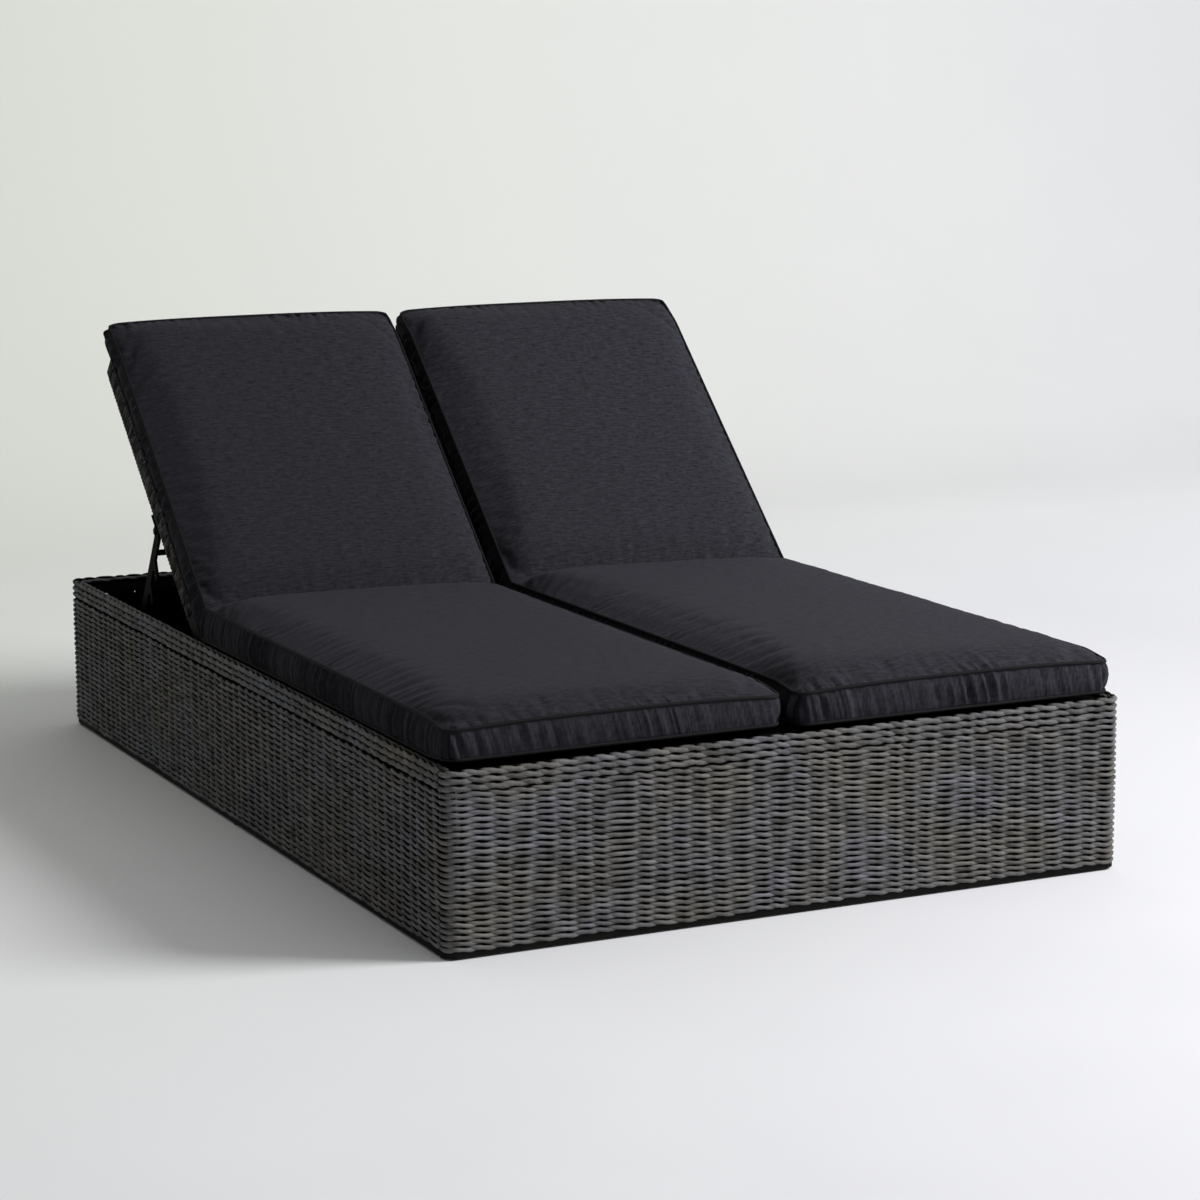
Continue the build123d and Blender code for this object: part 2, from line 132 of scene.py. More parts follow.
# Woven walls --------------------------------------------------------------
# Round polyethylene strand, twined by hand: two strands at a time pass either
# side of each upright stake and cross before the next, from rail to border.
HALF_WIDTH, HALF_LENGTH = 635 * MM, 1000 * MM
CORNER = 22 * MM
WALL_INSET = 4.2 * MM
WALL_BOTTOM, WALL_TOP = 12 * MM, 270 * MM
PAIRS = 25
FOOT_STAKES, SIDE_STAKES = 36, 56


def sockets_of(tree, **inputs):
    """Names a tree's inputs, with their socket types, and gives it one mesh in and out."""
    tree.is_modifier = True
    tree.interface.new_socket("Geometry", in_out="INPUT", socket_type="NodeSocketGeometry")
    tree.interface.new_socket("Geometry", in_out="OUTPUT", socket_type="NodeSocketGeometry")
    for name, kind in inputs.items():
        tree.interface.new_socket(name.replace("_", " "), in_out="INPUT", socket_type="NodeSocket" + kind)
    return put(tree, "NodeGroupInput").outputs


def line_mesh(points, closed=False):
    """A mesh of edges only, for a tree to follow."""
    mesh = bpy.data.meshes.new("line")
    edges = [(i, i + 1) for i in range(len(points) - 1)]
    if closed:
        edges.append((len(points) - 1, 0))
    mesh.from_pydata([tuple(p) for p in points], edges, [])
    return mesh


def plain_copy(thing):
    """Applies a piece's modifiers."""
    graph = bpy.context.evaluated_depsgraph_get()
    plain = bpy.data.meshes.new_from_object(
        thing.evaluated_get(graph), preserve_all_data_layers=True, depsgraph=graph
    )
    thing.modifiers.clear()
    thing.data = plain


def grow(name, tree, start, **values):
    """Runs a tree on a starting mesh and keeps the result as a plain mesh."""
    made = bpy.data.objects.new(name, start)
    scene.collection.objects.link(made)
    modifier = made.modifiers.new("grow", "NODES")
    modifier.node_group = tree
    for item in tree.interface.items_tree:
        key = item.name.replace(" ", "_")
        if item.in_out == "INPUT" and key in values:
            modifier[item.identifier] = values[key]
    plain_copy(made)
    made.data.name = name
    return made


def wall_line(side, inset):
    """Points along one wall, anticlockwise from above, so that outside is on the right."""
    half_x = HALF_WIDTH - inset
    straight_y = HALF_LENGTH - CORNER
    if side in ("left", "right"):
        sign = 1 if side == "right" else -1
        return [(sign * half_x, -sign * straight_y, 0), (sign * half_x, sign * straight_y, 0)]
    sign = 1 if side == "foot" else -1
    middle_x = HALF_WIDTH - CORNER
    points = []
    for middle, first in ((-middle_x, 180), (middle_x, 270)):
        for step in range(9):
            angle = math.radians(first + step * 90 / 8)
            x = middle + (CORNER - inset) * math.cos(angle)
            y = -straight_y + (CORNER - inset) * math.sin(angle)
            points.append((sign * x, sign * y, 0))
    return points


weave = bpy.data.node_groups.new("twined_weave", "GeometryNodeTree")
given = sockets_of(
    weave, Pairs="Int", Stakes="Int", Steps="Int", Pair_pitch="Float", Strand_radius="Float",
    Swing="Float", Crossing="Float", Wander="Float", Waviness="Float", Unevenness="Float",
    Up="Vector", First_row="Float", Stake_width="Float", Stake_thickness="Float", Stake_foot="Float",
    Stake_height="Float", Bare_ends="Int", Seed="Float", Strand="Material", Stake="Material",
)
path = put(weave, "GeometryNodeMeshToCurve", {"Mesh": given["Geometry"]})
steps = put(weave, "Math", {0: given["Stakes"], 1: given["Steps"], 2: 1.0}, operation="MULTIPLY_ADD")
fine_path = put(weave, "GeometryNodeResampleCurve", {"Curve": path, "Count": steps})
strand_total = put(weave, "Math", {0: given["Pairs"], 1: 2.0}, operation="MULTIPLY")
rows = put(
    weave, "GeometryNodeDuplicateElements", {"Geometry": fine_path, "Amount": strand_total}, domain="SPLINE"
)
row = rows.outputs["Duplicate Index"]
halved = put(weave, "Math", {0: row, 1: 0.5}, operation="MULTIPLY")
pair = put(weave, "Math", {0: halved}, operation="FLOOR")
partner = put(weave, "Math", {0: row, 1: 2.0}, operation="FLOORED_MODULO")
# The stakes wander along the wall, and the strands cross midway between them.
along = put(weave, "GeometryNodeSplineParameter")
stake_run = put(weave, "Math", {0: along.outputs["Factor"], 1: given["Stakes"]}, operation="MULTIPLY")
run_seeded = put(weave, "Math", {0: stake_run, 1: given["Seed"]}, operation="ADD")
drift = put(weave, "Math", {0: pair, 1: 0.07}, operation="MULTIPLY")
run_and_row = put(weave, "CombineXYZ", {"X": run_seeded, "Y": drift})
wandering = put(
    weave, "TexNoise", {"Vector": run_and_row, "Scale": 0.43, "Detail": 1.0}, noise_dimensions="2D"
)
wander = put(weave, "MapRange", {"Value": wandering, "To Min": -1.0, "To Max": 1.0}, clamp=False)
wander_run = put(weave, "Math", {0: wander, 1: given["Wander"], 2: stake_run}, operation="MULTIPLY_ADD")
half_turns = put(weave, "Math", {0: wander_run, 1: partner}, operation="ADD")
angle = put(weave, "Math", {0: half_turns, 1: math.pi}, operation="MULTIPLY")
front = put(weave, "Math", {0: angle}, operation="COSINE")
aside = put(weave, "Math", {0: angle}, operation="SINE")
pair_height = put(
    weave, "Math", {0: pair, 1: given["Pair pitch"], 2: given["First row"]}, operation="MULTIPLY_ADD"
)
height = put(weave, "Math", {0: aside, 1: given["Crossing"], 2: pair_height}, operation="MULTIPLY_ADD")
# Neighbouring rows rise and fall together, and each strand is a little uneven too.
position = put(weave, "GeometryNodeInputPosition")
row_lift = put(weave, "VectorMath", {0: given["Up"], "Scale": pair_height}, operation="SCALE")
row_place = put(weave, "VectorMath", {0: position, 1: row_lift}, operation="ADD")
strand_number = put(weave, "Math", {0: row, 1: 1.37, 2: given["Seed"]}, operation="MULTIPLY_ADD")
rolling = put(weave, "TexNoise", {"Vector": row_place, "Scale": 7.0, "Detail": 1.5})
loose = put(
    weave, "TexNoise", {"Vector": row_place, "W": strand_number, "Scale": 30.0, "Detail": 1.0},
    noise_dimensions="4D",
)
rolling_mid = put(weave, "Math", {0: rolling, 1: 0.5}, operation="SUBTRACT")
loose_mid = put(weave, "VectorMath", {0: loose.outputs["Color"], 1: (0.5, 0.5, 0.5)}, operation="SUBTRACT")
loose_parts = put(weave, "SeparateXYZ", {0: loose_mid})
wavy_height = put(weave, "Math", {0: rolling_mid, 1: given["Waviness"], 2: height}, operation="MULTIPLY_ADD")
uneven_height = put(
    weave, "Math", {0: loose_parts.outputs["X"], 1: given["Unevenness"], 2: wavy_height},
    operation="MULTIPLY_ADD",
)
depth = put(weave, "Math", {0: front, 1: given["Swing"]}, operation="MULTIPLY")
uneven_depth = put(
    weave, "Math", {0: loose_parts.outputs["Y"], 1: given["Unevenness"], 2: depth}, operation="MULTIPLY_ADD"
)
tangent = put(weave, "GeometryNodeInputTangent")
outward = put(weave, "VectorMath", {0: tangent, 1: given["Up"]}, operation="CROSS_PRODUCT")
lift = put(weave, "VectorMath", {0: given["Up"], "Scale": uneven_height}, operation="SCALE")
push = put(weave, "VectorMath", {0: outward, "Scale": uneven_depth}, operation="SCALE")
offset = put(weave, "VectorMath", {0: lift, 1: push}, operation="ADD")
facing_kept = put(
    weave, "GeometryNodeStoreNamedAttribute", {"Geometry": rows, "Name": "outside", "Value": outward},
    data_type="FLOAT_VECTOR",
)
woven = put(weave, "GeometryNodeSetPosition", {"Geometry": facing_kept, "Offset": offset})
with_depth = put(
    weave, "GeometryNodeStoreNamedAttribute", {"Geometry": woven, "Name": "outward", "Value": front}
)
with_number = put(
    weave, "GeometryNodeStoreNamedAttribute",
    {"Geometry": with_depth, "Name": "strand_number", "Value": strand_number},
)
uneven_thickness = put(
    weave, "MapRange",
    {"Value": loose_parts.outputs["Z"], "From Min": -0.3, "From Max": 0.3, "To Min": 0.82, "To Max": 1.1},
)
# Pulled flat over a stake, each strand swells again where it crosses its partner.
aside_size = put(weave, "Math", {0: aside}, operation="ABSOLUTE")
off_stake = put(weave, "Math", {0: aside_size, 1: 1.5}, operation="MULTIPLY", use_clamp=True)
thickness = put(weave, "Math", {0: off_stake, 1: 0.34, 2: uneven_thickness}, operation="MULTIPLY_ADD")
strand_round = put(
    weave, "GeometryNodeCurvePrimitiveCircle", {"Resolution": 6, "Radius": given["Strand radius"]}
)
strands = put(
    weave, "GeometryNodeCurveToMesh",
    {"Curve": with_number, "Profile Curve": strand_round, "Scale": thickness, "Fill Caps": True},
)
strands_finished = put(weave, "GeometryNodeSetMaterial", {"Geometry": strands, "Material": given["Strand"]})
stake_count = put(weave, "Math", {0: given["Stakes"], 1: 1.0}, operation="ADD")
stake_feet = put(weave, "GeometryNodeResampleCurve", {"Curve": path, "Count": stake_count})
wall_length = put(weave, "GeometryNodeSplineLength")
stake_gap = put(weave, "Math", {0: wall_length.outputs["Length"], 1: given["Stakes"]}, operation="DIVIDE")
gap_wander = put(weave, "Math", {0: stake_gap, 1: given["Wander"]}, operation="MULTIPLY")
stake_shift = put(weave, "Math", {0: wander, 1: gap_wander}, operation="MULTIPLY")
stake_back = put(weave, "Math", {0: stake_shift, 1: -1.0}, operation="MULTIPLY")
stake_offset = put(weave, "VectorMath", {0: tangent, "Scale": stake_back}, operation="SCALE")
stake_places = put(weave, "GeometryNodeSetPosition", {"Geometry": stake_feet, "Offset": stake_offset})
stake_tall = put(weave, "Math", {0: given["Stake height"], 1: given["Stake foot"]}, operation="SUBTRACT")
stake_size = put(
    weave, "CombineXYZ", {"X": given["Stake width"], "Y": given["Stake thickness"], "Z": stake_tall}
)
stake = put(weave, "GeometryNodeMeshCube", {"Size": stake_size})
stake_half = put(weave, "Math", {0: stake_tall, 1: 0.5}, operation="MULTIPLY")
stake_middle = put(weave, "Math", {0: stake_half, 1: given["Stake foot"]}, operation="ADD")
stake_lift = put(weave, "CombineXYZ", {"Z": stake_middle})
stake_upright = put(weave, "GeometryNodeTransform", {"Geometry": stake, "Translation": stake_lift})
along_wall = put(
    weave, "FunctionNodeAxesToRotation", {"Primary Axis": given["Up"], "Secondary Axis": tangent}
)
counted = put(weave, "GeometryNodeInputIndex")
past_first = put(
    weave, "FunctionNodeCompare", {"A": counted, "B": given["Bare ends"]}, data_type="INT",
    operation="GREATER_EQUAL",
)
last_kept = put(
    weave, "FunctionNodeIntegerMath", {0: given["Stakes"], 1: given["Bare ends"]}, operation="SUBTRACT"
)
before_last = put(
    weave, "FunctionNodeCompare", {"A": counted, "B": last_kept}, data_type="INT", operation="LESS_EQUAL"
)
off_corner = put(weave, "FunctionNodeBooleanMath", {0: past_first, 1: before_last}, operation="AND")
stakes = put(
    weave, "GeometryNodeInstanceOnPoints",
    {"Points": stake_places, "Selection": off_corner, "Instance": stake_upright, "Rotation": along_wall},
)
stakes_whole = put(weave, "GeometryNodeRealizeInstances", {"Geometry": stakes})
stakes_finished = put(
    weave, "GeometryNodeSetMaterial", {"Geometry": stakes_whole, "Material": given["Stake"]}
)
together = put(weave, "GeometryNodeJoinGeometry")
for part in (strands_finished, stakes_finished):
    feed(together, {0: part})
real = put(weave, "GeometryNodeRealizeInstances", {"Geometry": together})
put(weave, "NodeGroupOutput", {0: real})

# Extruded polyethylene strand, weathered outdoors: nearly matt, greyed by the
# sun in bluish and brownish patches some 150 mm across. Painted shade makes it
# black where it turns in behind a stake and on the side that faces inwards.
resin, tree, shader = finish_named("extruded_polyethylene_strand", 0.62, Specular_IOR_Level=0.04)
place = put(tree, "TexCoord")
turned = put(tree, "Attribute", attribute_name="outward")
number = put(tree, "Attribute", attribute_name="strand_number")
outside = put(tree, "Attribute", attribute_name="outside")
batch = put(
    tree, "TexNoise",
    {"Vector": place.outputs["Object"], "W": number.outputs["Fac"], "Scale": 16.0, "Detail": 3.0,
     "Roughness": 0.75},
    noise_dimensions="4D",
)
batch_wide = put(tree, "MapRange", {"Value": batch, "From Min": 0.32, "From Max": 0.68})
patches = put(tree, "TexNoise", {"Vector": place.outputs["Object"], "Scale": 7.0})
patches_wide = put(tree, "MapRange", {"Value": patches, "From Min": 0.35, "From Max": 0.65})
sunned = put(
    tree, "Mix", {"Factor": patches_wide, "A": linear("#7b7872"), "B": linear("#77787f")}, data_type="RGBA"
)
faded = put(tree, "Mix", {"Factor": batch_wide, "A": linear("#464543"), "B": sunned}, data_type="RGBA")
# Painted shade: the recess mask darkens a strand as it turns in behind a stake, and the outer-face mask
# darkens its faces turned inwards.
recess = put(tree, "MapRange", {"Value": turned.outputs["Fac"], "From Min": -0.85, "From Max": -0.25})
facing_out = put(
    tree, "VectorMath", {0: outside.outputs["Vector"], 1: place.outputs["Normal"]}, operation="DOT_PRODUCT"
)
outer_face = put(tree, "MapRange", {"Value": facing_out, "From Min": -0.35, "From Max": 0.45})
lit = put(tree, "Math", {0: recess, 1: outer_face}, operation="MULTIPLY")
# Painted shade: on the left side, turned from the lamp, the strand is darkened
# further, and only where it stands out most does it keep its colour.
lamp_facing = put(tree, "VectorMath", {0: outside.outputs["Vector"], 1: (1.0, 0.0, 0.0)}, operation="DOT_PRODUCT")
left_shade_power = put(
    tree, "MapRange", {"Value": lamp_facing, "From Min": -1.0, "From Max": -0.2, "To Min": 1.9, "To Max": 1.0}
)
lit = put(tree, "Math", {0: lit, 1: left_shade_power}, operation="POWER")
# Painted shade: the strand's own colour is mixed towards near black by the shade mask.
strand_painted_shade = put(tree, "Mix", {"Factor": lit, "A": linear("#020202"), "B": faded}, data_type="RGBA")
lines = put(tree, "TexNoise", {"Vector": place.outputs["Object"], "Scale": 900.0, "Detail": 1.0})
bump = put(tree, "Bump", {"Height": lines, "Strength": 0.3, "Distance": 0.2 * MM})
feed(shader, {"Base Color": strand_painted_shade, "Normal": bump})

# The upright stakes are the same strand, with painted shade: near black for
# the shade they stand in inside the weave.
stake_resin, tree, shader = finish_named("shaded_polyethylene_stake", 0.95, Specular_IOR_Level=0.0)
place = put(tree, "TexCoord").outputs["Object"]
streaks = put(tree, "TexNoise", {"Vector": place, "Scale": 60.0})
dull = put(tree, "Mix", {"Factor": streaks, "A": linear("#0c0c0b"), "B": linear("#181817")}, data_type="RGBA")
feed(shader, {"Base Color": dull})

pair_pitch = (WALL_TOP - WALL_BOTTOM) / PAIRS
for side in ("foot", "right", "head", "left"):
    long_side = side in ("left", "right")
    wall = grow(
        side + "_weave", weave, line_mesh(wall_line(side, WALL_INSET)),
        Pairs=PAIRS, Stakes=SIDE_STAKES if long_side else FOOT_STAKES, Steps=5 if long_side else 6,
        Pair_pitch=pair_pitch, Strand_radius=(3.0 if side == "foot" else 2.85) * MM,
        Swing=2.6 * MM, Crossing=-1.6 * MM, Wander=0.45, Waviness=11 * MM, Unevenness=2.4 * MM,
        Up=(0.0, 0.0, 1.0), First_row=WALL_BOTTOM + pair_pitch / 2,
        Stake_width=44 * MM, Stake_thickness=1.4 * MM, Stake_foot=WALL_BOTTOM, Stake_height=WALL_TOP,
        Bare_ends=1 if long_side else 2, Seed=4.0, Strand=resin, Stake=stake_resin,
    )
    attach(wall, "base")
    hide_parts(side + "_woven_wall")

# Border -------------------------------------------------------------------
# Thicker strand twined round the top of the walls: three pairs up the outside,
# and two more over the rail to the inside, except behind the foot's edge.
BORDER_INSET = 5.0 * MM
BORDER_PITCH = 12.0 * MM
OVER_RAIL = 301.5 * MM

for side, inward in (("foot", (0, 1, 0)), ("right", (-1, 0, 0)), ("head", (0, -1, 0)), ("left", (1, 0, 0))):
    long_side = side in ("left", "right")
    pieces = [grow(
        side + "_border", weave, line_mesh(wall_line(side, BORDER_INSET)),
        Pairs=3, Stakes=64 if long_side else 40, Steps=6, Pair_pitch=BORDER_PITCH, Strand_radius=3.7 * MM,
        Swing=2.2 * MM, Crossing=-1.5 * MM, Wander=0.5, Waviness=5 * MM, Unevenness=2.8 * MM,
        Up=(0.0, 0.0, 1.0), First_row=(276.5 if side == "foot" else 279.0) * MM,
        Stake_width=34 * MM, Stake_thickness=1.4 * MM, Stake_foot=256 * MM, Stake_height=300 * MM,
        Bare_ends=1 if long_side else 2, Seed=2.0, Strand=resin, Stake=stake_resin,
    )]
    if side != "foot":
        ends = [wall_line(side, BORDER_INSET)[at] for at in ((0, -1) if long_side else (8, 9))]
        pieces.append(grow(
            side + "_border_top", weave, line_mesh([(x, y, OVER_RAIL) for x, y, z in ends]),
            Pairs=2, Stakes=64 if long_side else 38, Steps=6, Pair_pitch=8 * MM,
            Strand_radius=2.6 * MM, Swing=1.8 * MM, Crossing=-0.8 * MM, Wander=0.5, Waviness=1.5 * MM,
            Unevenness=1.2 * MM, Up=tuple(float(part) for part in inward), First_row=4.6 * MM,
            Stake_width=34 * MM, Stake_thickness=1.2 * MM, Stake_foot=0.0, Stake_height=16 * MM,
            Bare_ends=1, Seed=3.0, Strand=resin, Stake=stake_resin,
        ))
    for border_piece in pieces:
        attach(border_piece, "base")
        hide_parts(side + "_woven_rim")

# Back frames --------------------------------------------------------------
# Each back is a frame of flat tubes wound with the same strand from above the
# hinge, up one side, over the top and down the other, round a woven panel.
HINGE = Vector((0, 215 * MM, 274 * MM))
RECLINE = math.radians(42.5)
UP_BACK = Vector((0, math.cos(RECLINE), math.sin(RECLINE)))
OFF_BACK = Vector((0, -math.sin(RECLINE), math.cos(RECLINE)))
OUTER_RAIL_X, INNER_RAIL_X = 597.5 * MM, 27 * MM
WRAP_START, TOP_RAIL_AT = 105 * MM, 739 * MM
FRAME_BEND = 11 * MM
PANEL_OUTER_X, PANEL_INNER_X, PANEL_OFF = 584.5 * MM, 40 * MM, 22 * MM
PANEL_START, PANEL_END = 66 * MM, 724 * MM


def on_back(x, up, off):
    """A point of a back: across, up its tubes from the hinge, and off its middle plane."""
    return Vector((x, 0, 0)) + HINGE + UP_BACK * up + OFF_BACK * off


winding = bpy.data.node_groups.new("wound_strand", "GeometryNodeTree")
given = sockets_of(
    winding, Pitch="Float", Steps_per_turn="Float", Half_width="Float", Half_depth="Float",
    Strand_radius="Float", Face="Vector", Strand="Material",
)
path = put(winding, "GeometryNodeMeshToCurve", {"Mesh": given["Geometry"]})
step = put(winding, "Math", {0: given["Pitch"], 1: given["Steps per turn"]}, operation="DIVIDE")
fine_path = put(winding, "GeometryNodeResampleCurve", {"Curve": path, "Length": step}, mode="LENGTH")
along = put(winding, "GeometryNodeSplineParameter")
turns = put(winding, "Math", {0: along.outputs["Length"], 1: given["Pitch"]}, operation="DIVIDE")
angle = put(winding, "Math", {0: turns, 1: 2 * math.pi}, operation="MULTIPLY")
squared = {}
for name, wave_kind, half in (("side", "COSINE", "Half width"), ("face", "SINE", "Half depth")):
    wave = put(winding, "Math", {0: angle}, operation=wave_kind)
    size = put(winding, "Math", {0: wave}, operation="ABSOLUTE")
    full = put(winding, "Math", {0: size, 1: 0.4}, operation="POWER")
    sign = put(winding, "Math", {0: wave}, operation="SIGN")
    signed = put(winding, "Math", {0: full, 1: sign}, operation="MULTIPLY")
    squared[name] = put(winding, "Math", {0: signed, 1: given[half]}, operation="MULTIPLY")
tangent = put(winding, "GeometryNodeInputTangent")
sideways = put(winding, "VectorMath", {0: tangent, 1: given["Face"]}, operation="CROSS_PRODUCT")
push = put(winding, "VectorMath", {0: sideways, "Scale": squared["side"]}, operation="SCALE")
lift = put(winding, "VectorMath", {0: given["Face"], "Scale": squared["face"]}, operation="SCALE")
offset = put(winding, "VectorMath", {0: push, 1: lift}, operation="ADD")
away = put(winding, "VectorMath", {0: offset}, operation="NORMALIZE")
facing_kept = put(
    winding, "GeometryNodeStoreNamedAttribute", {"Geometry": fine_path, "Name": "outside", "Value": away},
    data_type="FLOAT_VECTOR",
)
wound = put(winding, "GeometryNodeSetPosition", {"Geometry": facing_kept, "Offset": offset})
# Painted shade: each turn is darkened by its own random amount, the whole winding
# more than the outer strands of the walls.
turn_noise = put(winding, "TexNoise", {"W": turns, "Scale": 0.9, "Detail": 1.0}, noise_dimensions="1D")
turn_shade_depth = put(
    winding, "MapRange",
    {"Value": turn_noise, "From Min": 0.3, "From Max": 0.7, "To Min": -0.78, "To Max": -0.32},
)
marked = put(
    winding, "GeometryNodeStoreNamedAttribute", {"Geometry": wound, "Name": "outward", "Value": turn_shade_depth}
)
counted = put(
    winding, "GeometryNodeStoreNamedAttribute", {"Geometry": marked, "Name": "strand_number", "Value": turns}
)
strand_round = put(
    winding, "GeometryNodeCurvePrimitiveCircle", {"Resolution": 5, "Radius": given["Strand radius"]}
)
tube = put(
    winding, "GeometryNodeCurveToMesh", {"Curve": counted, "Profile Curve": strand_round, "Fill Caps": True}
)
real = put(winding, "GeometryNodeRealizeInstances", {"Geometry": tube})
finished = put(winding, "GeometryNodeSetMaterial", {"Geometry": real, "Material": given["Strand"]})
put(winding, "NodeGroupOutput", {0: finished})

for side, sign in (("left", -1), ("right", 1)):
    around = [on_back(sign * OUTER_RAIL_X, WRAP_START, 0)]
    across = sign * (OUTER_RAIL_X - FRAME_BEND), sign * (INNER_RAIL_X + FRAME_BEND)
    for turn_number, middle in enumerate(across):
        for step_number in range(7):
            turned_by = math.radians(step_number * 15 + 90 * turn_number)
            x = middle + sign * FRAME_BEND * math.cos(turned_by)
            around.append(on_back(x, TOP_RAIL_AT - FRAME_BEND + FRAME_BEND * math.sin(turned_by), 0))
    around.append(on_back(sign * INNER_RAIL_X, WRAP_START, 0))
    wraps = grow(
        side + "_back_winding", winding, line_mesh(around),
        Pitch=9.6 * MM, Steps_per_turn=18.0, Half_width=10.0 * MM, Half_depth=22.6 * MM,
        Strand_radius=4.0 * MM, Face=tuple(OFF_BACK), Strand=resin,
    )
    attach(wraps, side + "_back")
    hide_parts(side + "_back_wraps")

    # The panel's outside is the rear of the back.
    low_x, high_x = sorted((sign * PANEL_OUTER_X, sign * PANEL_INNER_X))
    panel = grow(
        side + "_back_weave", weave, line_mesh([on_back(x, 0, PANEL_OFF) for x in (high_x, low_x)]),
        Pairs=62, Stakes=15, Steps=6, Pair_pitch=10.6 * MM, Strand_radius=3.1 * MM, Swing=1.2 * MM,
        Crossing=-1.6 * MM, Wander=0.4, Waviness=6 * MM, Unevenness=1.6 * MM,
        Up=tuple(UP_BACK), First_row=PANEL_START, Stake_width=44 * MM, Stake_thickness=1.2 * MM,
        Stake_foot=PANEL_START, Stake_height=PANEL_END, Bare_ends=1, Seed=9.0,
        Strand=resin, Stake=stake_resin,
    )
    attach(panel, side + "_back")
    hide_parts(side + "_back_panel")

# Hinges and stays ---------------------------------------------------------
# Folded steel brackets, pins, hexagon bolts and the two notched stays of each
# back, pressed and welded, then dipped in black paint that is worn at edges.
steel, tree, shader = finish_named("black_painted_steel", 0.5, Specular_IOR_Level=0.01)
place = put(tree, "TexCoord").outputs["Object"]
runs = put(tree, "TexNoise", {"Vector": place, "Scale": 120.0, "Detail": 4.0})
paint = put(tree, "Mix", {"Factor": runs, "A": linear("#050505"), "B": linear("#0e0e0e")}, data_type="RGBA")
gloss = put(tree, "MapRange", {"Value": runs, "To Min": 0.42, "To Max": 0.6})
bump = put(tree, "Bump", {"Height": runs, "Strength": 0.3, "Distance": 0.2 * MM})
feed(shader, {"Base Color": paint, "Roughness": gloss, "Normal": bump})
steel_ends = ("_stay", "_brackets", "_pins", "_studs", "_tie_rod")
wear([n for n in node_objects if n.endswith(steel_ends)], steel)

# Floor glides -------------------------------------------------------------
# Six moulded polyethylene discs under the bottom rails: matt, with the fine
# grain of their mould and scuffs from the floor.
glide_plastic, tree, shader = finish_named("moulded_polyethylene", 0.55)
place = put(tree, "TexCoord").outputs["Object"]
scuffs = put(tree, "TexNoise", {"Vector": place, "Scale": 300.0, "Detail": 3.0})
tone = put(tree, "Mix", {"Factor": scuffs, "A": linear("#151515"), "B": linear("#2a2a2a")}, data_type="RGBA")
feed(shader, {"Base Color": tone})
wear(["floor_glides"], glide_plastic)

# Cushions -----------------------------------------------------------------
# One long boxed foam cushion for each side, sewn from black-navy olefin and
# folded at the hinge: a top, a bottom, a boxing strip and piping at both edges.
CUSHION_FOOT = -980 * MM
SEAT_BOTTOM = 300.4 * MM
EDGE = 74 * MM
END_DROP = 10 * MM
SWELL_RUN = 90 * MM
BACK_OFF = 26.4 * MM
BACK_END = 774 * MM
CORNER_ROUND = 26 * MM
PIPING_RADIUS = 3.3 * MM
SEAM_LIFT = 13 * MM
BACK_LIFT = 17 * MM
ROLL_RUN = 50 * MM
END_ARCH = 8 * MM
CROWN_RUN = 150 * MM
FOLD_NOTCH_RUN = 95 * MM
CURL_RUN = 60 * MM
WAIST = 4 * MM
BOXING_BELLY = 3.5 * MM
BEND_RUN = 70 * MM
BOXING_LAYERS = 7
FILL_FRAMES, FILL_LIMIT = 20, 10 * MM

half_fold = RECLINE / 2
bottom_fold = on_back(0, 0, BACK_OFF)
bottom_fold += UP_BACK * ((SEAT_BOTTOM - bottom_fold.z) / UP_BACK.z)
top_fold = bottom_fold + Vector((0, -math.sin(half_fold), math.cos(half_fold))) * (EDGE / math.cos(half_fold))
seat_run = bottom_fold.y - CUSHION_FOOT
back_run = BACK_END - (bottom_fold - HINGE).dot(UP_BACK)


def smooth(share):
    """Eases from 0 to 1."""
    share = np.clip(share, 0, 1)
    return share * share * (3 - 2 * share)


def cushion_point(x, run, rise, crown):
    """Where a cushion point lies: run is measured along its bottom from the foot end.

    Rise goes from 0 at the bottom edge to 1 at the top edge, and crown is in metres on top."""
    x, run, rise, crown = np.broadcast_arrays(x, run, rise, crown)
    seat_share = np.clip(run / seat_run, 0, 1)
    back_share = np.clip((run - seat_run) / back_run, 0, 1)
    lean = (top_fold.y - bottom_fold.y) * seat_share**8
    seat_drop = END_DROP * (1 - smooth(run / SWELL_RUN))
    seat_y = CUSHION_FOOT + seat_share * seat_run + lean * rise
    seat_z = SEAT_BOTTOM + (rise * (EDGE - seat_drop) + crown)
    inner_lean = (top_fold - bottom_fold).dot(UP_BACK) * (1 - back_share) ** 8
    head_drop = END_DROP * (1 - smooth((seat_run + back_run - run) / SWELL_RUN))
    back_off = BACK_OFF + rise * (EDGE - head_drop) + crown
    up = (bottom_fold - HINGE).dot(UP_BACK) + back_share * back_run + inner_lean * rise
    back_y = HINGE.y + UP_BACK.y * up + OFF_BACK.y * back_off
    back_z = HINGE.z + UP_BACK.z * up + OFF_BACK.z * back_off
    # Above the edge the two parts meet in the fold's own plane.
    near = smooth((run - seat_run) / BEND_RUN + 0.5)
    y = seat_y * (1 - near) + back_y * near
    z = seat_z * (1 - near) + back_z * near
    return np.stack([x, y, z], -1)


def spaced(start, end, cells, corner):
    """Grid lines from start to end, with four close ones inside each rounded corner."""
    inner = np.linspace(start + corner, end - corner, cells + 1)
    close = np.linspace(0, corner, 5)[:-1]
    return np.concatenate([start + close, inner, (end - close)[::-1]])


def keep_values(mesh, **labelled):
    """Keeps a value for each point of a mesh under each label."""
    for label, values in labelled.items():
        mesh.attributes.new(label, "FLOAT", "POINT").data.foreach_set("value", values.astype(np.float32))


def kept_values(mesh, *labels):
    """Reads what a mesh keeps for its points under each label."""
    for label in labels:
        values = np.zeros(len(mesh.vertices), np.float32)
        mesh.attributes[label].data.foreach_get("value", values)
        yield values.astype(float)


